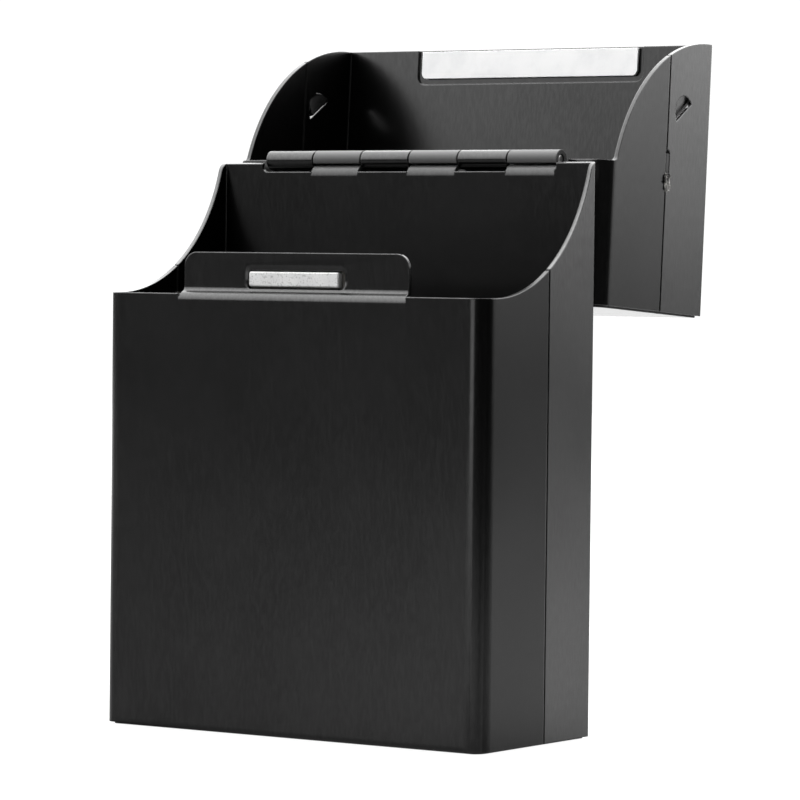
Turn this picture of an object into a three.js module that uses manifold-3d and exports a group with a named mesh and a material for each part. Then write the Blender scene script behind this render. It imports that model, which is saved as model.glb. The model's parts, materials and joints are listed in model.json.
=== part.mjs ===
// Pocket cigarette case with a flip lid, folded from thin anodised aluminium sheet.
// Millimetres. X is across the case, Y runs from the front face to the back face, Z is up.
// The origin is the centre of the base's underside. The lid is drawn closed, then opened
// about the hinge, so the case stands open with its lid hanging behind it.
import * as THREE from 'three';
import { mergeVertices } from 'three/addons/utils/BufferGeometryUtils.js';
import Module from 'manifold-3d';

const wasm = await Module();
wasm.setup();

// Overall sizes.
const WIDTH = 60;
const DEPTH = 26.4;
const CLOSED_HEIGHT = 94.5;
const FRONT_RIM = 57.3; // top of the short front wall
const BACK_RIM = 75; // top of the tall back wall
const SHEET = 0.6;
const PARTING = 0.2; // gap between the two rims when the lid is shut
const OPEN_DEG = 183.6; // how far the lid swings from shut to its stop

// Bends, as outer radii.
const SOFT_BEND = 2.5; // the short wall of each shell turns into its side flaps on this
const TIGHT_BEND = 0.8; // the tall wall of each shell turns into its side flaps on this
const END_BEND = 1; // walls turn into the base, and into the lid's closed end, on this
const SHORT_FLAP = 15.05; // length of the flaps folded off a short wall
const FLAP_LIFT = 0.25; // the side flaps stop this far short of the base's underside
const END_FOLD = 8; // height of the folded strip that carries a base or a closed end

// The side rims sweep up to the hinge on an arc, then turn level through a small fillet.
const BODY_SWEEP = { radius: 23.5, start: SOFT_BEND, fillet: 1.6 };
const LID_SWEEP = { radius: 24.3, start: 0.5, fillet: 1 };

// Hinge.
const KNUCKLES = 6;
const KNUCKLE_PITCH = 7.81;
const KNUCKLE_GAP = 0.2;
const HINGE_OFFSET = 0.4; // the row of knuckles sits this far right of centre
const HINGE_BEHIND = 1.2; // hinge axis behind the back face
const HINGE_LIFT = 0.35; // hinge axis above the back rim
const CURL_RADIUS = 1.3; // outside of a rolled knuckle
const CURL_END_DEG = 202; // a curl runs from -90 degrees, under the pin, to here
const FINGER_BEND = 0.9; // outside of the wall, where it turns back under the pin
const NOTCH_DEPTH = 1.6; // sheet between knuckles is cut back this far from the axis
const NOTCH_CORNER = 0.8;
const PIN_RADIUS = 0.6;
const PIN_CHAMFER = 0.12;

// Latch tab: the sheet steps in below the rim, to pass inside the lid's long wall.
const JOGGLE_DEPTH = 1.1;
const JOGGLE_RISE = 1.7;
const JOGGLE_START = FRONT_RIM - 0.85;
const STRIP_HALF = 18; // half width of the stepped strip
const STRIP_SHOULDER = 0.05; // the strip's ends stand this far above the rim
const STRIP_CORNER = 0.4;
const TAB_HALF = 17.75;
const TAB_TOP = FRONT_RIM + 5.45;
const TAB_CORNER = 1.9;

// Magnet in the tab's window, its adhesive, and the plate in the lid that it holds.
const WINDOW = { left: -7.55, right: 7.7, bottom: FRONT_RIM + 0.7, top: FRONT_RIM + 3.15, corner: 0.5 };
const DISH_WIDTH = 0.8; // margin pressed in round the window
const DISH_DEPTH = 0.3;
const MAGNET = { left: -7.35, right: 6.85, bottom: FRONT_RIM + 1.02, top: FRONT_RIM + 2.97, thick: 1.6 };
const MAGNET_EDGE = 0.15;
const ADHESIVE_WALL = 0.8;
const ADHESIVE_CORNER = 0.5;
const BOND_GAP = 0.05; // between a bonded piece and what it is bonded to
const KEEPER_WIDTH = 35.4;
const KEEPER_OFFSET = 0.75; // the keeper sits this far right of centre
const KEEPER_LIFT = 0.2; // the keeper starts this far from the lid's rim
const KEEPER_HEIGHT = 3.8;
const KEEPER_THICK = 0.4;
const KEEPER_CORNER = 0.8;
const RECESS_DEPTH = 0.3;
const RECESS_MARGIN = 0.8;
const RECESS_CORNER = 1.2;
const FILM_THICK = 0.08;

// Lanced stops in the lid's sides: half discs on a slanting hinge line, pressed inwards.
const STOPS = [
  { side: -1, fromLongWall: 8, aboveRim: 9.3 },
  { side: 1, fromLongWall: 7.3, aboveRim: 10.1 },
];
const STOP_RADIUS = 2.3;
const STOP_SLANT_DEG = 35;
const STOP_PRESS_DEG = 15;
const STOP_CLEARANCE = 0.1;

// A slot widened out of each lid seam, and the dab of adhesive that locks it.
const SLOT = { width: 1, low: BACK_RIM - 2.35, high: BACK_RIM + 3.2 };
const DAB = { width: 1.5, low: BACK_RIM + 0.6, high: BACK_RIM + 3.35, proud: 0.12 };
const SLOT_SHIFT = 0.3; // slot and dab sit this far from the seam, towards the long wall

// Beads that bond the body's seams on the inside.
const BEAD_WIDTH = 1.6;
const BEAD_THICK = 0.35;
const BEAD_START = 2;

// Fits and steps.
const FIT_GAP = 0.15; // between folded sheet edges
const SEAM_GAP = 0.3; // between the flaps of one side
const LEAST_RADIUS = 0.05;
const BEYOND = 5; // cutters run this far past what they cut
const FINE = 20; // segments along a long arc
const COARSE = 6; // segments along a small bend
const PIN_SIDES = 20;

// Worked out from the above.
const FRONT = -DEPTH / 2;
const BACK = DEPTH / 2;
const HALF = WIDTH / 2;
const AXIS_Y = BACK + HINGE_BEHIND;
const AXIS_Z = BACK_RIM + HINGE_LIFT;
const HINGE_LENGTH = KNUCKLES * KNUCKLE_PITCH;
const BODY_SEAM_Y = FRONT + SHORT_FLAP;
const LID_SEAM_Y = BACK - SHORT_FLAP;
const TAB_FACE = FRONT + JOGGLE_DEPTH;
const LID_FRONT_RIM = FRONT_RIM + PARTING;
const RECESS_FLOOR = FRONT + SHEET - RECESS_DEPTH;

// Outlines drawn in one plane and extruded along the third axis.
const ALONG_X = [new THREE.Vector3(0, 1, 0), new THREE.Vector3(0, 0, 1), new THREE.Vector3(1, 0, 0)];
const ALONG_Y = [new THREE.Vector3(1, 0, 0), new THREE.Vector3(0, 0, 1), new THREE.Vector3(0, -1, 0)];
const ALONG_Z = [new THREE.Vector3(1, 0, 0), new THREE.Vector3(0, 1, 0), new THREE.Vector3(0, 0, 1)];

function metal(color, roughness) {
  return new THREE.MeshStandardMaterial({ color, roughness, metalness: 1 });
}

function adhesive(color, roughness) {
  return new THREE.MeshStandardMaterial({ color, roughness, metalness: 0 });
}

// A closed geometry as a solid, and back.
function solid(geometry) {
  geometry.deleteAttribute('normal');
  geometry.deleteAttribute('uv');
  const merged = mergeVertices(geometry, 1e-5);
  const mesh = new wasm.Mesh({
    numProp: 3,
    vertProperties: new Float32Array(merged.attributes.position.array),
    triVerts: new Uint32Array(merged.index.array),
  });
  return new wasm.Manifold(mesh);
}

function geometryOf(body) {
  const mesh = body.getMesh();
  const geometry = new THREE.BufferGeometry();
  geometry.setAttribute('position', new THREE.BufferAttribute(new Float32Array(mesh.vertProperties), 3));
  geometry.setIndex(new THREE.BufferAttribute(new Uint32Array(mesh.triVerts), 1));
  const flat = geometry.toNonIndexed();
  flat.computeVertexNormals();
  return flat;
}

// Extrudes an outline from `low` to `high` along one of the three directions above.
function extruded(shape, direction, low, high, settings = {}) {
  const options = { depth: high - low, bevelEnabled: false, curveSegments: COARSE, ...settings };
  const geometry = new THREE.ExtrudeGeometry(shape, options);
  geometry.applyMatrix4(new THREE.Matrix4().makeBasis(...direction));
  const start = direction === ALONG_Y ? -high : low;
  geometry.translate(...direction[2].clone().multiplyScalar(start).toArray());
  return solid(geometry);
}

function block(x0, x1, y0, y1, z0, z1) {
  const geometry = new THREE.BoxGeometry(x1 - x0, y1 - y0, z1 - z0);
  geometry.translate((x0 + x1) / 2, (y0 + y1) / 2, (z0 + z1) / 2);
  return solid(geometry);
}

// A rectangle whose corners have the radii [low left, low right, high right, high left].
function roundedBox(left, right, low, high, radii) {
  const [a, b, c, d] = radii;
  const shape = new THREE.Shape();
  shape.moveTo(left + a, low);
  shape.lineTo(right - b, low);
  if (b > 0) shape.absarc(right - b, low + b, b, -Math.PI / 2, 0, false);
  shape.lineTo(right, high - c);
  if (c > 0) shape.absarc(right - c, high - c, c, 0, Math.PI / 2, false);
  shape.lineTo(left + d, high);
  if (d > 0) shape.absarc(left + d, high - d, d, Math.PI / 2, Math.PI, false);
  shape.lineTo(left, low + a);
  if (a > 0) shape.absarc(left + a, low + a, a, Math.PI, Math.PI * 1.5, false);
  return shape;
}

function evenlyRounded(left, right, low, high, radius) {
  return roundedBox(left, right, low, high, [radius, radius, radius, radius]);
}

// The plan outline of a shell, drawn in by `inset`.
function planOutline(inset, frontBend, backBend) {
  const front = Math.max(frontBend - inset, LEAST_RADIUS);
  const back = Math.max(backBend - inset, LEAST_RADIUS);
  const radii = [front, front, back, back];
  return roundedBox(-HALF + inset, HALF - inset, FRONT + inset, BACK - inset, radii);
}

// The side outline of a shell that stands from `low` to `high`, drawn in by `inset`.
// `bends` are the radii at [low, high].
function sideOutline(inset, low, high, bends) {
  const [lower, upper] = bends;
  return roundedBox(FRONT + inset, BACK - inset, low, high, [lower, lower, upper, upper]);
}

// Everything above a rim: level over the front wall, then the sweep up to the back wall.
// The sweep's centre is above the point where it leaves the level, and a fillet ends it.
function aboveRim(frontZ, backZ, sweep) {
  const centreY = FRONT + sweep.start;
  const centreZ = frontZ + sweep.radius;
  const filletZ = backZ - sweep.fillet;
  const reach = sweep.radius + sweep.fillet;
  const filletY = centreY + Math.sqrt(reach ** 2 - (centreZ - filletZ) ** 2);
  const turn = -Math.asin((centreZ - filletZ) / reach);
  const sweepEnd = new THREE.Vector2(Math.cos(turn), Math.sin(turn)).multiplyScalar(sweep.radius);
  const shape = new THREE.Shape();
  shape.moveTo(FRONT - BEYOND, frontZ);
  shape.lineTo(centreY, frontZ);
  shape.absarc(centreY, centreZ, sweep.radius, -Math.PI / 2, turn, false);
  shape.lineTo(centreY + sweepEnd.x, centreZ + sweepEnd.y);
  shape.absarc(filletY, filletZ, sweep.fillet, Math.PI + turn, Math.PI / 2, true);
  shape.lineTo(BACK + BEYOND, backZ);
  shape.lineTo(BACK + BEYOND, CLOSED_HEIGHT + BEYOND);
  shape.lineTo(FRONT - BEYOND, CLOSED_HEIGHT + BEYOND);
  return extruded(shape, ALONG_X, -HALF - BEYOND, HALF + BEYOND, { curveSegments: FINE });
}

// The four walls of a shell, with a seam open in both sides.
function walls(frontBend, backBend, low, high, seamY) {
  const outside = extruded(planOutline(0, frontBend, backBend), ALONG_Z, low, high);
  const inside = extruded(planOutline(SHEET, frontBend, backBend), ALONG_Z, low - BEYOND, high + BEYOND);
  const seams = block(
    -HALF - BEYOND, HALF + BEYOND,
    seamY - SEAM_GAP / 2, seamY + SEAM_GAP / 2,
    low - BEYOND, high + BEYOND,
  );
  return outside.subtract(inside).subtract(seams);
}

// A U-shaped strip: both walls with the flat end between them, at the bottom or at the top.
// It stops short of the side flaps, and it narrows where the soft bends start.
function foldedEnd(endZ, atBottom) {
  const low = atBottom ? endZ : endZ - END_FOLD;
  const high = atBottom ? endZ + END_FOLD : endZ;
  const bends = atBottom ? [END_BEND, 0] : [0, END_BEND];
  const inner = bends.map((bend) => Math.max(bend - SHEET, 0));
  const holeLow = atBottom ? low + SHEET : low - BEYOND;
  const holeHigh = atBottom ? high + BEYOND : high - SHEET;
  const wide = HALF - SHEET - FIT_GAP;
  const outside = extruded(sideOutline(0, low, high, bends), ALONG_X, -wide, wide);
  const hole = extruded(sideOutline(SHEET, holeLow, holeHigh, inner), ALONG_X, -HALF, HALF);
  const [frontBend, backBend] = atBottom ? [SOFT_BEND, TIGHT_BEND] : [TIGHT_BEND, SOFT_BEND];
  const betweenFlaps = extruded(planOutline(SHEET + FIT_GAP, frontBend, backBend), ALONG_Z, low, high);
  const frontHalf = HALF - frontBend - FIT_GAP;
  const backHalf = HALF - backBend - FIT_GAP;
  const frontStrip = block(-frontHalf, frontHalf, FRONT - BEYOND, FRONT + SOFT_BEND, low, high);
  const backStrip = block(-backHalf, backHalf, BACK - SOFT_BEND, BACK + BEYOND, low, high);
  return outside.subtract(hole).intersect(betweenFlaps.add(frontStrip).add(backStrip));
}

// One rolled knuckle with the sheet that leads into it, as a side outline.
// `up` is 1 for the body, whose sheet comes from below, and -1 for the lid.
function fingerOutline(up) {
  const rootZ = AXIS_Z - CURL_RADIUS - FINGER_BEND;
  const sheetStart = rootZ - FINGER_BEND;
  const bendY = BACK + FINGER_BEND;
  const curlEnd = THREE.MathUtils.degToRad(CURL_END_DEG);
  const shape = new THREE.Shape();
  shape.moveTo(BACK - SHEET, sheetStart);
  shape.lineTo(BACK - SHEET, rootZ);
  shape.absarc(bendY, rootZ, FINGER_BEND + SHEET, Math.PI, Math.PI / 2, true);
  shape.absarc(AXIS_Y, AXIS_Z, CURL_RADIUS - SHEET, -Math.PI / 2, curlEnd, false);
  shape.absarc(AXIS_Y, AXIS_Z, CURL_RADIUS, curlEnd, -Math.PI / 2, true);
  shape.absarc(bendY, rootZ, FINGER_BEND, Math.PI / 2, Math.PI, false);
  shape.lineTo(BACK, sheetStart);
  const turned = (p) => new THREE.Vector2(p.x, AXIS_Z + up * (p.y - AXIS_Z));
  return new THREE.Shape(shape.getPoints(FINE / 2).map(turned));
}

// Cuts the hinge edge of a wall back between the knuckles, then adds this shell's own knuckles.
function withKnuckles(shell, first, up) {
  const hingeLeft = HINGE_OFFSET - HINGE_LENGTH / 2;
  const floor = AXIS_Z - up * NOTCH_DEPTH;
  const open = AXIS_Z + up * BEYOND;
  const corner = NOTCH_CORNER;
  const radii = up > 0 ? [corner, corner, 0, 0] : [0, 0, corner, corner];
  const left = hingeLeft - KNUCKLE_GAP;
  const right = hingeLeft + HINGE_LENGTH + KNUCKLE_GAP;
  const outline = roundedBox(left, right, Math.min(floor, open), Math.max(floor, open), radii);
  let result = shell.subtract(extruded(outline, ALONG_Y, BACK - SHEET - FIT_GAP, BACK + BEYOND));
  const root = AXIS_Z - up * (CURL_RADIUS + FINGER_BEND);
  const fingerSpan = [Math.min(root, open), Math.max(root, open)];
  for (let index = first; index < KNUCKLES; index += 2) {
    const start = hingeLeft + index * KNUCKLE_PITCH + KNUCKLE_GAP / 2;
    const end = start + KNUCKLE_PITCH - KNUCKLE_GAP;
    const room = block(start, end, BACK - SHEET - FIT_GAP, BACK + BEYOND, ...fingerSpan);
    result = result.subtract(room).add(extruded(fingerOutline(up), ALONG_X, start, end));
  }
  return result;
}

// The latch tab: two equal and opposite bends carry the sheet in, and it stands above the rim.
function latchTab() {
  const angle = 2 * Math.atan(JOGGLE_DEPTH / JOGGLE_RISE);
  const middle = JOGGLE_RISE / (2 * Math.sin(angle));
  const small = middle - SHEET / 2;
  const large = middle + SHEET / 2;
  const lowerY = FRONT + large;
  const upperY = TAB_FACE - small;
  const upperZ = JOGGLE_START + JOGGLE_RISE;
  const root = JOGGLE_START - SHEET;
  const side = new THREE.Shape();
  side.moveTo(FRONT, root);
  side.lineTo(FRONT, JOGGLE_START);
  side.absarc(lowerY, JOGGLE_START, large, Math.PI, Math.PI - angle, true);
  side.absarc(upperY, upperZ, small, -angle, 0, false);
  side.lineTo(TAB_FACE, TAB_TOP);
  side.lineTo(TAB_FACE + SHEET, TAB_TOP);
  side.absarc(upperY, upperZ, large, 0, -angle, true);
  side.absarc(lowerY, JOGGLE_START, small, Math.PI - angle, Math.PI, false);
  side.lineTo(FRONT + SHEET, root);
  const shoulder = FRONT_RIM + STRIP_SHOULDER;
  const strip = roundedBox(-STRIP_HALF, STRIP_HALF, root, shoulder, [0, 0, STRIP_CORNER, STRIP_CORNER]);
  const tab = roundedBox(-TAB_HALF, TAB_HALF, root, TAB_TOP, [0, 0, TAB_CORNER, TAB_CORNER]);
  const faceOn = [strip, tab].map((shape) => extruded(shape, ALONG_Y, FRONT - BEYOND, FRONT + BEYOND));
  return extruded(side, ALONG_X, -HALF, HALF).intersect(faceOn[0].add(faceOn[1]));
}

// The magnet's window, with a dished margin on the tab's flat face round its top and ends.
function magnetWindow() {
  const { left, right, bottom, top, corner } = WINDOW;
  const outline = evenlyRounded(left, right, bottom, top, corner);
  const through = extruded(outline, ALONG_Y, FRONT - BEYOND, FRONT + BEYOND);
  const dishOutline = evenlyRounded(left, right, bottom + DISH_WIDTH, top, corner);
  const dish = extruded(dishOutline, ALONG_Y, TAB_FACE - SHEET, TAB_FACE, {
    bevelEnabled: true,
    bevelThickness: DISH_DEPTH,
    bevelSize: DISH_WIDTH,
    bevelSegments: 1,
  });
  return through.add(dish);
}

function bodyShell() {
  const sleeve = walls(SOFT_BEND, TIGHT_BEND, FLAP_LIFT, CLOSED_HEIGHT, BODY_SEAM_Y);
  const envelope = extruded(sideOutline(0, 0, CLOSED_HEIGHT, [END_BEND, 0]), ALONG_X, -HALF, HALF);
  const folded = sleeve.intersect(envelope).add(foldedEnd(0, true));
  const cut = folded.subtract(aboveRim(FRONT_RIM, BACK_RIM, BODY_SWEEP));
  const stripRoom = block(
    -STRIP_HALF, STRIP_HALF,
    FRONT - BEYOND, FRONT + SHEET + FIT_GAP,
    JOGGLE_START, FRONT_RIM + BEYOND,
  );
  const withTab = cut.subtract(stripRoom).add(latchTab()).subtract(magnetWindow());
  return withKnuckles(withTab, 1, 1);
}

// A stop's own frame: its hinge line along X, the pressed half below it, its normal outwards.
function stopPlacement({ side, fromLongWall, aboveRim }) {
  const slant = THREE.MathUtils.degToRad(STOP_SLANT_DEG);
  const turn = new THREE.Matrix4().makeBasis(
    new THREE.Vector3(0, Math.cos(slant), Math.sin(slant)),
    new THREE.Vector3(0, -Math.sin(slant), Math.cos(slant)),
    new THREE.Vector3(1, 0, 0),
  );
  const place = new THREE.Matrix4().makeTranslation(side * HALF, FRONT + fromLongWall, FRONT_RIM + aboveRim);
  return place.multiply(turn);
}

function halfDisc(radius) {
  const shape = new THREE.Shape();
  shape.moveTo(-radius, 0);
  shape.absarc(0, 0, radius, Math.PI, Math.PI * 2, false);
  return shape;
}

// The half-disc hole of one stop, and its tongue leaning into the lid from the round end.
function lancedStop(spot) {
  const { side } = spot;
  const place = stopPlacement(spot);
  const round = { bevelEnabled: false, curveSegments: COARSE };
  const hole = new THREE.ExtrudeGeometry(halfDisc(STOP_RADIUS), { ...round, depth: 4 * SHEET });
  hole.translate(0, 0, -2 * SHEET);
  hole.applyMatrix4(place);
  const tongueRadius = STOP_RADIUS - FIT_GAP;
  const tongue = new THREE.ExtrudeGeometry(halfDisc(tongueRadius), { ...round, depth: SHEET });
  tongue.translate(0, tongueRadius, side > 0 ? -SHEET : 0);
  tongue.rotateX(-side * THREE.MathUtils.degToRad(STOP_PRESS_DEG));
  tongue.translate(0, -STOP_RADIUS - STOP_CLEARANCE, 0);
  tongue.applyMatrix4(place);
  return { hole: solid(hole), tongue: solid(tongue) };
}

function keeperOutline(margin, corner) {
  const half = KEEPER_WIDTH / 2 + margin;
  const low = LID_FRONT_RIM + KEEPER_LIFT - margin;
  const high = LID_FRONT_RIM + KEEPER_LIFT + KEEPER_HEIGHT + margin;
  return roundedBox(KEEPER_OFFSET - half, KEEPER_OFFSET + half, low, high, [0, 0, corner, corner]);
}

// An upright strip on the line of a lid seam's slot.
function slotOutline(width, low, high) {
  const middle = LID_SEAM_Y - SLOT_SHIFT;
  const corner = width / 2 - LEAST_RADIUS;
  return evenlyRounded(middle - width / 2, middle + width / 2, low, high, corner);
}

function lidShell() {
  const low = FRONT_RIM - BEYOND;
  const sleeve = walls(TIGHT_BEND, SOFT_BEND, low, CLOSED_HEIGHT - FLAP_LIFT, LID_SEAM_Y);
  const envelope = extruded(sideOutline(0, low, CLOSED_HEIGHT, [0, END_BEND]), ALONG_X, -HALF, HALF);
  const folded = sleeve.intersect(envelope).add(foldedEnd(CLOSED_HEIGHT, false));
  const recessOutline = keeperOutline(RECESS_MARGIN, RECESS_CORNER);
  const recess = extruded(recessOutline, ALONG_Y, RECESS_FLOOR, RECESS_FLOOR + BEYOND);
  const slot = slotOutline(SLOT.width, SLOT.low, SLOT.high);
  const slots = extruded(slot, ALONG_X, -HALF - BEYOND, HALF + BEYOND);
  let shell = folded.intersect(aboveRim(LID_FRONT_RIM, BACK_RIM + PARTING, LID_SWEEP));
  shell = shell.subtract(recess).subtract(slots);
  for (const spot of STOPS) {
    const stop = lancedStop(spot);
    shell = shell.subtract(stop.hole).add(stop.tongue);
  }
  return withKnuckles(shell, 0, -1);
}

function hingePin() {
  const half = HINGE_LENGTH / 2 - KNUCKLE_GAP;
  const profile = [
    new THREE.Vector2(0, -half),
    new THREE.Vector2(PIN_RADIUS - PIN_CHAMFER, -half),
    new THREE.Vector2(PIN_RADIUS, -half + PIN_CHAMFER),
    new THREE.Vector2(PIN_RADIUS, half - PIN_CHAMFER),
    new THREE.Vector2(PIN_RADIUS - PIN_CHAMFER, half),
    new THREE.Vector2(0, half),
  ];
  const geometry = new THREE.LatheGeometry(profile, PIN_SIDES);
  geometry.rotateZ(-Math.PI / 2);
  geometry.translate(HINGE_OFFSET, AXIS_Y, AXIS_Z);
  return solid(geometry);
}

function latchMagnet() {
  const { left, right, bottom, top, thick } = MAGNET;
  const edge = MAGNET_EDGE;
  const outline = evenlyRounded(left + edge, right - edge, bottom + edge, top - edge, edge);
  return extruded(outline, ALONG_Y, TAB_FACE + edge, TAB_FACE + thick - edge, {
    bevelEnabled: true,
    bevelThickness: edge,
    bevelSize: edge,
    bevelSegments: 1,
    curveSegments: 1,
  });
}

// A cup of adhesive behind the tab, round the magnet's back and sides.
function magnetAdhesive() {
  const { left, right, bottom, top, thick } = MAGNET;
  const start = TAB_FACE + SHEET + BOND_GAP;
  const magnetBack = TAB_FACE + thick;
  const wall = ADHESIVE_WALL;
  const corner = ADHESIVE_CORNER;
  const outline = evenlyRounded(left - wall, right + 2 * wall, bottom - wall / 2, top + wall, corner);
  const cup = extruded(outline, ALONG_Y, start, magnetBack + wall / 2);
  const room = block(
    left - BOND_GAP, right + BOND_GAP,
    start - BOND_GAP, magnetBack + BOND_GAP,
    bottom - BOND_GAP, top + BOND_GAP,
  );
  return cup.subtract(room);
}

function keeperAdhesive() {
  const start = RECESS_FLOOR + BOND_GAP / 2;
  return extruded(keeperOutline(0, KEEPER_CORNER), ALONG_Y, start, start + FILM_THICK);
}

function keeperPlate() {
  const start = RECESS_FLOOR + FILM_THICK + BOND_GAP;
  return extruded(keeperOutline(0, KEEPER_CORNER), ALONG_Y, start, start + KEEPER_THICK);
}

// A dab of adhesive: a plug through the slot, with a wider cap on the outside of the flaps.
function seamDab(side) {
  const width = SLOT.width - 2 * BOND_GAP;
  const plug = slotOutline(width, DAB.low + BOND_GAP, SLOT.high - BOND_GAP);
  const cap = slotOutline(DAB.width, DAB.low, DAB.high);
  const spans = [[HALF - SHEET, HALF + DAB.proud], [HALF + BOND_GAP / 2, HALF + DAB.proud]];
  const [plugSpan, capSpan] = spans.map(([inner, outer]) => (side > 0 ? [inner, outer] : [-outer, -inner]));
  return extruded(plug, ALONG_X, ...plugSpan).add(extruded(cap, ALONG_X, ...capSpan));
}

// A flat-backed bead up the inside of a body seam.
function seamBead(side) {
  const inner = HALF - SHEET - BOND_GAP;
  const outline = new THREE.Shape();
  outline.moveTo(inner, -BEAD_WIDTH / 2);
  outline.lineTo(inner, BEAD_WIDTH / 2);
  outline.lineTo(inner - BEAD_THICK, BEAD_WIDTH / 4);
  outline.lineTo(inner - BEAD_THICK, -BEAD_WIDTH / 4);
  const depth = FRONT_RIM - BEAD_START;
  const geometry = new THREE.ExtrudeGeometry(outline, { depth, bevelEnabled: false });
  if (side < 0) geometry.rotateZ(Math.PI);
  geometry.translate(0, BODY_SEAM_Y, BEAD_START);
  return solid(geometry);
}

function named(name, body, material) {
  const mesh = new THREE.Mesh(geometryOf(body), material);
  mesh.name = name;
  return mesh;
}

const blackSheet = () => metal(0x1b1b1c, 0.42);
const brightSteel = () => metal(0xd9d9d6, 0.3);
const nickelPlate = () => metal(0xc9c8c3, 0.45);
const darkAdhesive = () => adhesive(0x24221f, 0.35);
const paleAdhesive = () => adhesive(0xb9b7b0, 0.5);

function buildBody() {
  const group = new THREE.Group();
  group.add(named('body_shell', bodyShell(), blackSheet()));
  group.add(named('hinge_pin', hingePin(), brightSteel()));
  group.add(named('latch_magnet', latchMagnet(), nickelPlate()));
  group.add(named('magnet_adhesive', magnetAdhesive(), darkAdhesive()));
  group.add(named('body_seam_bond_left', seamBead(-1), darkAdhesive()));
  group.add(named('body_seam_bond_right', seamBead(1), darkAdhesive()));
  return group;
}

// The lid and what rides on it, drawn shut and then swung open about the hinge.
function buildLid() {
  const shut = new THREE.Group();
  shut.add(named('lid_shell', lidShell(), blackSheet()));
  shut.add(named('keeper_plate', keeperPlate(), brightSteel()));
  shut.add(named('keeper_adhesive', keeperAdhesive(), darkAdhesive()));
  shut.add(named('lid_seam_tack_left', seamDab(-1), paleAdhesive()));
  shut.add(named('lid_seam_tack_right', seamDab(1), paleAdhesive()));
  shut.position.set(0, -AXIS_Y, -AXIS_Z);
  const hinge = new THREE.Group();
  hinge.position.set(0, AXIS_Y, AXIS_Z);
  hinge.rotation.x = -THREE.MathUtils.degToRad(OPEN_DEG);
  hinge.add(shut);
  return hinge;
}

const cigaretteCase = new THREE.Group();
cigaretteCase.add(buildBody());
cigaretteCase.add(buildLid());

export default cigaretteCase;
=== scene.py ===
"""A folded-sheet cigarette case, open, on a white studio table. Metres, in the CAD part's frame."""
import json
import math

import bpy
from mathutils import Matrix, Vector


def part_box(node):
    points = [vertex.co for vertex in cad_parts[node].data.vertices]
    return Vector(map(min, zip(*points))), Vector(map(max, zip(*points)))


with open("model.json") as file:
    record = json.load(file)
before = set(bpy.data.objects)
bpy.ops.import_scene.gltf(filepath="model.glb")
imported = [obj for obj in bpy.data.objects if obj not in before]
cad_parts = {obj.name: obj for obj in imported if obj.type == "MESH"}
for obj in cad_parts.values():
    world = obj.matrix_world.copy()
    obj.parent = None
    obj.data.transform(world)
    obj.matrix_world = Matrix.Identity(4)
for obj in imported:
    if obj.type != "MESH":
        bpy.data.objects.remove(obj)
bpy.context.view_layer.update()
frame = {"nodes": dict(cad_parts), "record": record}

MM = 0.001
NODES = frame["nodes"]

# The photograph's viewpoint: yaw is towards the case's right, pitch is downwards.
CAMERA_AT = Vector((0.3254, -0.4682, 0.0624))
CAMERA_YAW = math.radians(34.1)
CAMERA_PITCH = math.radians(1.89)
CAMERA_ROLL = math.radians(0.63)
CAMERA_LENS = 195.5

# The rounding and shading of the solids' edges.
EDGE_WIDTH = 0.05 * MM
SHEET_EDGE = 0.2 * MM
WORN_AND_HIGHLIGHT_EDGE = 0.25 * MM
SHARP_ANGLE = math.radians(35)
FACET_ANGLE = math.radians(0.5)
WELD_GAP = 0.0002 * MM

# The hinge: at rest the lid is open, and it has turned a little past upside down.
HINGE = frame["record"]["behaviour"]["joints"][0]
HINGE_AT = Vector(HINGE["pos_m"])
LID_TILT = math.radians(HINGE["range_deg"][1] - 180)
LID_ACROSS = Vector((0, math.cos(LID_TILT), -math.sin(LID_TILT)))

# The plane of each shell's seams: its normal, and its distance from the origin. Shut, the lid's
# seams lie as far ahead of the middle as the body's lie behind it.
BEAD_LOW, BEAD_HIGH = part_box("body_seam_bond_right")
SEAM_Y = (BEAD_LOW.y + BEAD_HIGH.y) / 2
BODY_SEAM = (Vector((0, 1, 0)), SEAM_Y)
LID_SEAM = (LID_ACROSS, LID_ACROSS.dot(HINGE_AT) + HINGE_AT.y + SEAM_Y)
SEAM_BLUR = 0.05 * MM

# Where a shell's colour changes, each from the start to the end of a narrow blend: the painted
# light on the outside of the ends, the painted shade on the back wall, and the rubbed knuckles.
HALF_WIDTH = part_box("body_shell")[1].x
OUTSIDE_END = (HALF_WIDTH - 0.5 * MM, HALF_WIDTH - 0.3 * MM)
BACK_WALL = (HINGE_AT.y - 2.1 * MM, HINGE_AT.y - 1.9 * MM)
KNUCKLE_FRONT = (HINGE_AT.y - 1.42 * MM, HINGE_AT.y - 1.36 * MM)
KNUCKLE_FOOT = (HINGE_AT.z - 2.75 * MM, HINGE_AT.z - 2.15 * MM)

# Painted light and shade on the sheet, as factors on its colour: the outside of the ends darker
# ahead of the seam and paler behind it, and the body's back wall darker as painted shade. The lid's
# ahead and behind are as it hangs at rest.
SHEET_TONE = 0.05
CLOUD_TONE = SHEET_TONE * 0.91
GRAIN_TONE = SHEET_TONE * 1.4
WORN_AND_HIGHLIGHT_TONE = 0.085
RUBBED_TONE = 0.062
RUBBED_ROUGHNESS = 0.3
# Painted light and shade: factors that make the flaps paler or darker and the back wall darker.
BODY_PAINTED_LIGHT = {"ahead": 0.6, "behind": 1.5, "back_wall": 0.8}
LID_PAINTED_LIGHT = {"ahead": 0.84, "behind": 1.45, "back_wall": 1.0}

# Ranges of a noise texture: nearly all that it gives, and the middle of that.
NOISE_SPAN = (0.3, 0.7)
NOISE_MIDDLE = (0.35, 0.65)

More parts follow.
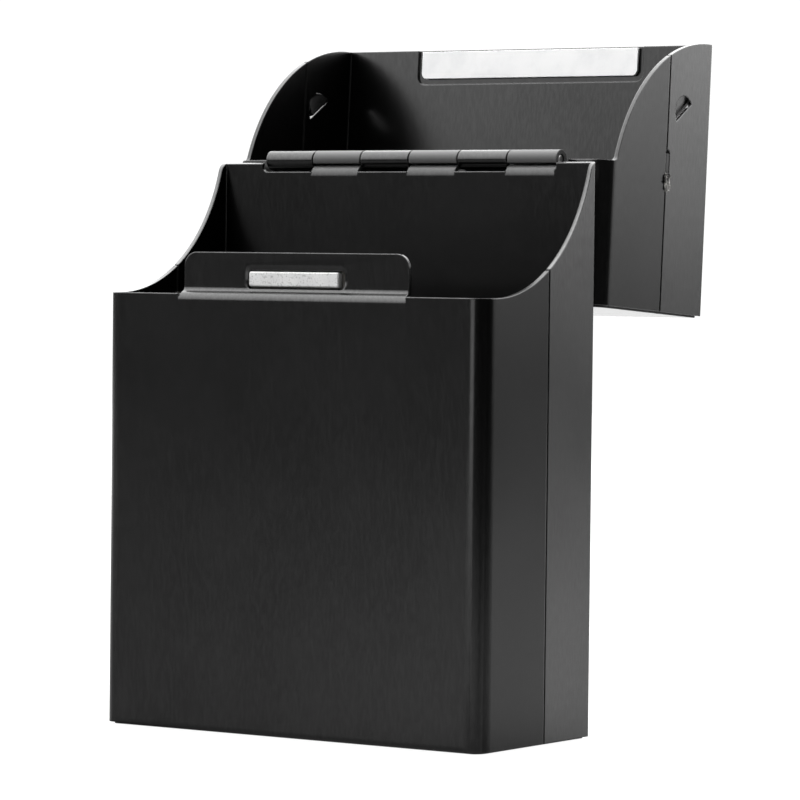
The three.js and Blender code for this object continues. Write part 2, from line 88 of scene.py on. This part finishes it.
# Directions of the studio's light: the dark side is in front and to the right.
DARK_SIDE = Vector((0.743, -0.669, 0))
STRIP_SIDE = Vector((-0.087, -0.996, 0))
POOL_SIDE = Vector((0.57, 0.82, 0))
PATCH_SIDE = Vector((0.839, -0.545, 0))
AWAY_SIDE = Vector((-0.57, 0.82, 0))
SKY_UP = Vector((0.027, 0.038, 1))

# Each ramp below is the range that comes in, and the values at its two ends.

# The table: glowing pools of painted light behind the case, and a painted glowing patch at its
# front right that ends on three sides. What the camera sees is FLOOR_SEEN, which lights nothing.
FLOOR_RADIUS = 0.75
FLOOR_CENTRE = Vector((-0.415, 0.28, 0))
FLOOR_STEPS = 96
FLOOR_DARK = 0.05
FLOOR_PALE = 0.055
FLOOR_SEEN = 0.92
POOL_RAMP = ((-0.04, 0.08), (0.0, 0.58))
FAR_POOL_RAMP = ((0.25, 0.45), (0.0, 0.9))
PATCH_RAMP = ((-0.04, 0.1), (0.0, 0.6))
PATCH_END = ((0.2, 0.32), (1.0, 0.0))
PATCH_BACK = ((-0.03, 0.01), (1.0, 0.0))

# The surround: a sky that brightens upwards, a low strip in front and a glow at the back left.
# What the camera sees is SURROUND_SEEN, which lights nothing.
SURROUND_SEEN = 1.1
SKY_BASE = 2.2
SKY_RISE = 3.9
HORIZON_RAMP = ((0.035, 0.09), (0.02, 1.0))
SHADE_RAMP = ((0.1, 0.4), (1.0, 0.03))
STRIP_RAMP = ((0.9744, 0.9877), (0.0, 1.8))
STRIP_TOP = ((0.0, 0.06), (1.0, 0.0))
BACKDROP_RAMP = ((0.75, 0.95), (0.0, 0.3))


# --- Shader helpers -------------------------------------------------------------------------

class Nodes:
    """Adds and joins the nodes of one material or world."""

    def __init__(self, owner):
        owner.use_nodes = True
        self.tree = owner.node_tree
        self.tree.nodes.clear()

    def add(self, kind, **values):
        """Adds a node. Each value sets the property of that name, or else the input."""
        node = self.tree.nodes.new(kind)
        for key, value in values.items():
            if hasattr(node, key):
                setattr(node, key, value)
            else:
                self.feed(node.inputs[key.replace("_", " ")], value)
        return node

    def feed(self, socket, value):
        """Links a value that comes from another node, and sets any other."""
        if isinstance(value, bpy.types.NodeSocket):
            self.tree.links.new(value, socket)
        else:
            socket.default_value = value

    def math(self, operation, a, b=0.0, c=0.0):
        node = self.add("ShaderNodeMath", operation=operation)
        for socket, value in zip(node.inputs, (a, b, c)):
            self.feed(socket, value)
        return node.outputs[0]

    def remap(self, value, source, target=(0.0, 1.0)):
        """Carries the source range over to the target range, and eases in and out at its ends."""
        node = self.add("ShaderNodeMapRange", interpolation_type="SMOOTHSTEP", clamp=True)
        for socket, number in zip(node.inputs, (value, *source, *target)):
            self.feed(socket, number)
        return node.outputs[0]

    def mix(self, factor, a, b):
        """Colour a where the factor is 0, and b where it is 1."""
        node = self.add("ShaderNodeMix", data_type="RGBA")
        sockets = {socket.identifier: socket for socket in node.inputs}
        self.feed(sockets["Factor_Float"], factor)
        self.feed(sockets["A_Color"], a)
        self.feed(sockets["B_Color"], b)
        return next(socket for socket in node.outputs if socket.identifier == "Result_Color")

    def tint(self, colour, amount):
        node = self.add("ShaderNodeVectorMath", operation="SCALE")
        self.feed(node.inputs[0], colour)
        self.feed(node.inputs["Scale"], amount)
        return node.outputs[0]

    def place(self, scale=(1, 1, 1)):
        """The place in metres, times the scale on each axis."""
        where = self.add("ShaderNodeTexCoord").outputs["Object"]
        return self.add("ShaderNodeMapping", Vector=where, Scale=scale).outputs[0]

    def axes(self, vector):
        return self.add("ShaderNodeSeparateXYZ", Vector=vector).outputs

    def vector(self, operation, a, b=(0, 0, 0)):
        node = self.add("ShaderNodeVectorMath", operation=operation)
        self.feed(node.inputs[0], a)
        self.feed(node.inputs[1], b)
        return node.outputs[0]

    def dot(self, a, b):
        node = self.add("ShaderNodeVectorMath", operation="DOT_PRODUCT")
        self.feed(node.inputs[0], a)
        self.feed(node.inputs[1], b)
        return node.outputs["Value"]

    def noise(self, scale, stretch=(1, 1, 1), detail=4.0, rough=0.5):
        """Noise with this many lumps to the metre, drawn out on axes whose stretch is below 1."""
        node = self.add("ShaderNodeTexNoise", Vector=self.place(stretch), Scale=scale)
        self.feed(node.inputs["Detail"], detail)
        self.feed(node.inputs["Roughness"], rough)
        return node.outputs[0]

    def bump(self, height, strength, distance, normal=None):
        node = self.add("ShaderNodeBump", Height=height, Strength=strength, Distance=distance)
        if normal is not None:
            self.feed(node.inputs["Normal"], normal)
        return node.outputs[0]

    def rounded(self, width):
        """The normal, turned over each sharp edge within this width."""
        node = self.add("ShaderNodeBevel", samples=6)
        self.feed(node.inputs["Radius"], width)
        return node.outputs[0]

    def edges(self, width):
        """1 on sharp edges, 0 on flat metal: how far the rounded normal turns from the flat one."""
        flat = self.add("ShaderNodeNewGeometry").outputs["Normal"]
        return self.remap(self.dot(self.rounded(width), flat), (0.99, 0.86))

    def surface(self, **values):
        shader = self.add("ShaderNodeBsdfPrincipled", **values)
        output = self.add("ShaderNodeOutputMaterial")
        self.tree.links.new(shader.outputs[0], output.inputs[0])


def grey(value):
    return (value, value, value, 1)


# --- Materials ------------------------------------------------------------------------------

def painted_light_factor(n, spot, seam, ahead, behind, back_wall):
    """The painted light and shade as a factor on the dye: set on the outside of the ends ahead of
    and behind the seam, painted shade on the back wall, and 1 on the rest.
    """
    across, seam_at = seam
    x, y, _ = n.axes(spot)
    end = n.remap(n.math("ABSOLUTE", x), OUTSIDE_END)
    seam_blend = (seam_at - SEAM_BLUR, seam_at + SEAM_BLUR)
    flap = n.remap(n.dot(spot, across), seam_blend, (ahead, behind))
    back = n.remap(y, BACK_WALL, (1.0, back_wall))
    return n.remap(end, (0.0, 1.0), (back, flap))


def knuckle_mask(n, spot):
    """1 on the rolled knuckles and the top of the back wall's outside, 0 on the rest."""
    _, y, z = n.axes(spot)
    return n.math("MULTIPLY", n.remap(y, KNUCKLE_FRONT), n.remap(z, KNUCKLE_FOOT))


def anodised_sheet(name, seam, painted_light_levels, rubbed=False):
    """Black anodised aluminium: satin, with a faint upright grain, paler edges that are partly worn
    and partly a painted highlight, and painted light and shade on its flaps and back wall.

    Where it is rubbed, its knuckles are paler and duller than the rest.
    """
    material = bpy.data.materials.new(name)
    n = Nodes(material)
    spot = n.place()
    grain = n.noise(3600, (1, 1, 0.2), detail=3.0, rough=0.6)
    cloud = n.noise(70, detail=3.0)
    dye_and_painted_light = n.mix(n.remap(cloud, NOISE_MIDDLE), grey(CLOUD_TONE), grey(SHEET_TONE))
    dye_and_painted_light = n.mix(n.remap(grain, (0.35, 0.7), (0.0, 0.5)), dye_and_painted_light, grey(GRAIN_TONE))
    # Painted light and shade: the flaps lit paler or darker, the back wall darkened.
    dye_and_painted_light = n.tint(dye_and_painted_light, painted_light_factor(n, spot, seam, **painted_light_levels))
    patchy = n.remap(n.noise(400), (0.3, 0.6), (0.4, 1.0))
    wear_and_highlight = n.math("MULTIPLY", n.edges(WORN_AND_HIGHLIGHT_EDGE), patchy)
    # Paler edges: in part wear, in part a painted highlight along them.
    colour = n.mix(wear_and_highlight, dye_and_painted_light, grey(WORN_AND_HIGHLIGHT_TONE))
    grain_polish = n.remap(grain, NOISE_SPAN, (0.222, 0.23))
    rough = n.math("ADD", grain_polish, n.remap(cloud, NOISE_SPAN, (-0.003, 0.003)))
    metal = 1.0
    if rubbed:
        knuckle = knuckle_mask(n, spot)
        colour = n.mix(knuckle, colour, grey(RUBBED_TONE))
        rough = n.math("MULTIPLY_ADD", knuckle, RUBBED_ROUGHNESS, rough)
        metal = n.math("SUBTRACT", 1.0, knuckle)
    brushing = n.noise(5200, (1, 1, 0.12), detail=2.0)
    fine = n.bump(brushing, 0.12, 0.01 * MM, n.rounded(SHEET_EDGE))
    normal = n.bump(n.noise(45, detail=2.0), 0.02, 0.05 * MM, fine)
    n.surface(Base_Color=colour, Metallic=metal, Roughness=rough, Normal=normal)
    return material


def drawn_steel():
    """The hinge pin's drawn wire, with scratches round it."""
    material = bpy.data.materials.new("drawn_steel")
    n = Nodes(material)
    rings = n.noise(3000, (1, 0.1, 0.1))
    colour = n.mix(rings, grey(0.5), grey(0.66))
    rough = n.remap(rings, NOISE_SPAN, (0.28, 0.42))
    normal = n.bump(rings, 0.2, 0.01 * MM)
    n.surface(Base_Color=colour, Metallic=1.0, Roughness=rough, Normal=normal)
    return material


def magnet_plating():
    """Nickel plate with a fine speckle of tiny pits."""
    material = bpy.data.materials.new("nickel_plate")
    n = Nodes(material)
    speckle = n.noise(3200, detail=5.0, rough=0.7)
    patches = n.noise(420, detail=3.0)
    pits = n.remap(speckle, (0.38, 0.47), (1.0, 0.0))
    colour = n.mix(n.remap(patches, NOISE_MIDDLE), grey(0.68), (0.74, 0.74, 0.735, 1))
    colour = n.mix(n.math("MULTIPLY", pits, 0.7), colour, grey(0.36))
    rough = n.remap(speckle, NOISE_SPAN, (0.42, 0.58))
    normal = n.bump(n.math("SUBTRACT", speckle, pits), 0.25, 0.01 * MM)
    n.surface(Base_Color=colour, Metallic=0.25, Roughness=rough, Normal=normal)
    return material


def keeper_steel():
    """Bright tinned strip with faint mottling."""
    material = bpy.data.materials.new("tinned_steel")
    n = Nodes(material)
    mottle = n.noise(300, detail=5.0, rough=0.6)
    scratches = n.noise(1500, (0.06, 1, 1))
    colour = n.mix(n.remap(mottle, (0.35, 0.7)), grey(1.0), (0.9, 0.905, 0.91, 1))
    rough = n.remap(scratches, NOISE_SPAN, (0.3, 0.45))
    normal = n.bump(scratches, 0.08, 0.01 * MM)
    n.surface(Base_Color=colour, Metallic=0.2, Roughness=rough, Normal=normal)
    return material


def set_adhesive(name, dark, pale, rough):
    """Set glue: lumpy, with cloudy colour."""
    material = bpy.data.materials.new(name)
    n = Nodes(material)
    lumps = n.noise(900, rough=0.6)
    cloud = n.noise(350, detail=3.0)
    colour = n.mix(n.remap(cloud, NOISE_MIDDLE), dark, pale)
    glaze = n.remap(lumps, NOISE_SPAN, (rough, rough + 0.2))
    n.surface(Base_Color=colour, Roughness=glaze, Normal=n.bump(lumps, 0.6, 0.08 * MM))
    return material


# --- The CAD pieces' finish -----------------------------------------------------------------

def finish_solid(node, material, edge=0.0):
    """Merges flat facets, shades the bends smooth and sets the material.

    Sharp edges are rounded off to this width. With none, they stay as they are cut.
    """
    piece = NODES[node]
    piece.data.materials.clear()
    piece.data.materials.append(material)
    bpy.context.view_layer.objects.active = piece
    bpy.ops.mesh.customdata_custom_splitnormals_clear()
    for face in piece.data.polygons:
        face.use_smooth = True
    weld = piece.modifiers.new("weld", "WELD")
    weld.merge_threshold = WELD_GAP
    flat = piece.modifiers.new("flat", "DECIMATE")
    flat.decimate_type = "DISSOLVE"
    flat.angle_limit = FACET_ANGLE
    if edge > 0:
        bevel = piece.modifiers.new("edge", "BEVEL")
        bevel.width = edge
        bevel.segments = 2
        bevel.limit_method = "ANGLE"
        bevel.angle_limit = SHARP_ANGLE
        bevel.use_clamp_overlap = False
    else:
        split = piece.modifiers.new("edge", "EDGE_SPLIT")
        split.split_angle = SHARP_ANGLE
        split.use_edge_sharp = False
    shade = piece.modifiers.new("shade", "WEIGHTED_NORMAL")
    shade.weight = 90


def make_lumpy(node):
    """Breaks up a dab of glue's smooth outline."""
    piece = NODES[node]
    remesh = piece.modifiers.new("remesh", "REMESH")
    remesh.mode = "VOXEL"
    remesh.voxel_size = 0.07 * MM
    remesh.use_smooth_shade = True
    lumps = bpy.data.textures.new(node, "CLOUDS")
    lumps.noise_scale = 0.55 * MM
    lumps.noise_depth = 2
    displace = piece.modifiers.new("lumps", "DISPLACE")
    displace.texture = lumps
    displace.texture_coords = "LOCAL"
    displace.mid_level = 0.75
    displace.strength = 0.7 * MM


def dress():
    """Gives each CAD piece its finish."""
    epoxy = set_adhesive("dark_epoxy", (0.018, 0.017, 0.015, 1), (0.035, 0.032, 0.027, 1), 0.25)
    dab = set_adhesive("pale_dab", (0.06, 0.06, 0.057, 1), (0.42, 0.41, 0.39, 1), 0.4)
    body_sheet = anodised_sheet("anodised_body", BODY_SEAM, BODY_PAINTED_LIGHT, rubbed=True)
    finish_solid("body_shell", body_sheet)
    finish_solid("lid_shell", anodised_sheet("anodised_lid", LID_SEAM, LID_PAINTED_LIGHT))
    finish_solid("hinge_pin", drawn_steel(), edge=EDGE_WIDTH)
    finish_solid("latch_magnet", magnet_plating(), edge=EDGE_WIDTH)
    finish_solid("keeper_plate", keeper_steel(), edge=EDGE_WIDTH)
    finish_solid("keeper_adhesive", epoxy, edge=0.02 * MM)
    finish_solid("magnet_adhesive", epoxy, edge=0.15 * MM)
    for side in ("left", "right"):
        finish_solid(f"body_seam_bond_{side}", epoxy, edge=0.1 * MM)
        finish_solid(f"lid_seam_tack_{side}", dab, edge=0.04 * MM)
        make_lumpy(f"lid_seam_tack_{side}")


# --- Studio ---------------------------------------------------------------------------------

def white_table():
    """White to the eye. As light, it is dark but for the pools and the patch of light painted on it
    as glow.
    """
    material = bpy.data.materials.new("white_table")
    n = Nodes(material)
    tone = n.mix(n.noise(25), grey(FLOOR_DARK), grey(FLOOR_PALE))
    spot = n.place()
    behind = n.dot(spot, POOL_SIDE)
    across = n.dot(spot, PATCH_SIDE)
    far_pool = n.remap(n.dot(spot, AWAY_SIDE), *FAR_POOL_RAMP)
    pools = n.math("ADD", n.remap(behind, *POOL_RAMP), far_pool)
    patch = n.math("MULTIPLY", n.remap(across, *PATCH_RAMP), n.remap(across, *PATCH_END))
    patch = n.math("MULTIPLY", patch, n.remap(behind, *PATCH_BACK))
    seen = n.add("ShaderNodeLightPath").outputs["Is Camera Ray"]
    # The table glows: painted light in its pools and patch, and an even white for the camera.
    glow = n.remap(seen, (0.0, 1.0), (n.math("ADD", pools, patch), FLOOR_SEEN))
    n.surface(Base_Color=tone, Roughness=0.7, Emission_Color=grey(1.0), Emission_Strength=glow)
    return material


def add_floor():
    """A round table top, level with the case's underside."""
    mesh = bpy.data.meshes.new("table")
    turns = (2 * math.pi * i / FLOOR_STEPS for i in range(FLOOR_STEPS))
    rim = [FLOOR_CENTRE + FLOOR_RADIUS * Vector((math.cos(a), math.sin(a), 0)) for a in turns]
    mesh.from_pydata(rim, [], [list(range(FLOOR_STEPS))])
    mesh.materials.append(white_table())
    floor = bpy.data.objects.new("table", mesh)
    bpy.context.scene.collection.objects.link(floor)


def add_world():
    """A white surround to the eye. As light, it grows brighter upwards, and is dark on one side."""
    world = bpy.data.worlds.new("studio")
    bpy.context.scene.world = world
    n = Nodes(world)
    way = n.add("ShaderNodeTexCoord").outputs["Generated"]
    height = n.dot(way, SKY_UP)
    brightness = n.math("MULTIPLY_ADD", height, SKY_RISE, SKY_BASE)
    sky = n.math("MULTIPLY", n.remap(height, *HORIZON_RAMP), brightness)
    shade = n.remap(n.dot(way, DARK_SIDE), *SHADE_RAMP)
    level = n.vector("NORMALIZE", n.vector("MULTIPLY", way, (1, 1, 0)))
    strip = n.remap(n.dot(level, STRIP_SIDE), *STRIP_RAMP)
    strip = n.math("MULTIPLY", strip, n.remap(height, *STRIP_TOP))
    backdrop = n.remap(n.dot(way, AWAY_SIDE), *BACKDROP_RAMP)
    light = n.math("MULTIPLY_ADD", sky, shade, n.math("ADD", strip, backdrop))
    seen = n.add("ShaderNodeLightPath").outputs["Is Camera Ray"]
    strength = n.mix(seen, light, grey(SURROUND_SEEN))
    background = n.add("ShaderNodeBackground", Color=strength, Strength=1.0)
    output = n.add("ShaderNodeOutputWorld")
    n.tree.links.new(background.outputs[0], output.inputs[0])


def add_camera():
    """The camera at the photograph's viewpoint."""
    data = bpy.data.cameras.new("camera")
    data.lens = CAMERA_LENS
    data.clip_start = 0.01
    camera = bpy.data.objects.new("camera", data)
    bpy.context.scene.collection.objects.link(camera)
    turn = Matrix.Rotation(CAMERA_YAW, 4, "Z")
    look = Matrix.Rotation(math.pi / 2 - CAMERA_PITCH, 4, "X")
    roll = Matrix.Rotation(CAMERA_ROLL, 4, "Z")
    camera.matrix_world = Matrix.Translation(CAMERA_AT) @ turn @ look @ roll
    bpy.context.scene.camera = camera


bpy.context.scene.view_settings.view_transform = "Standard"
dress()
add_floor()
add_world()
add_camera()
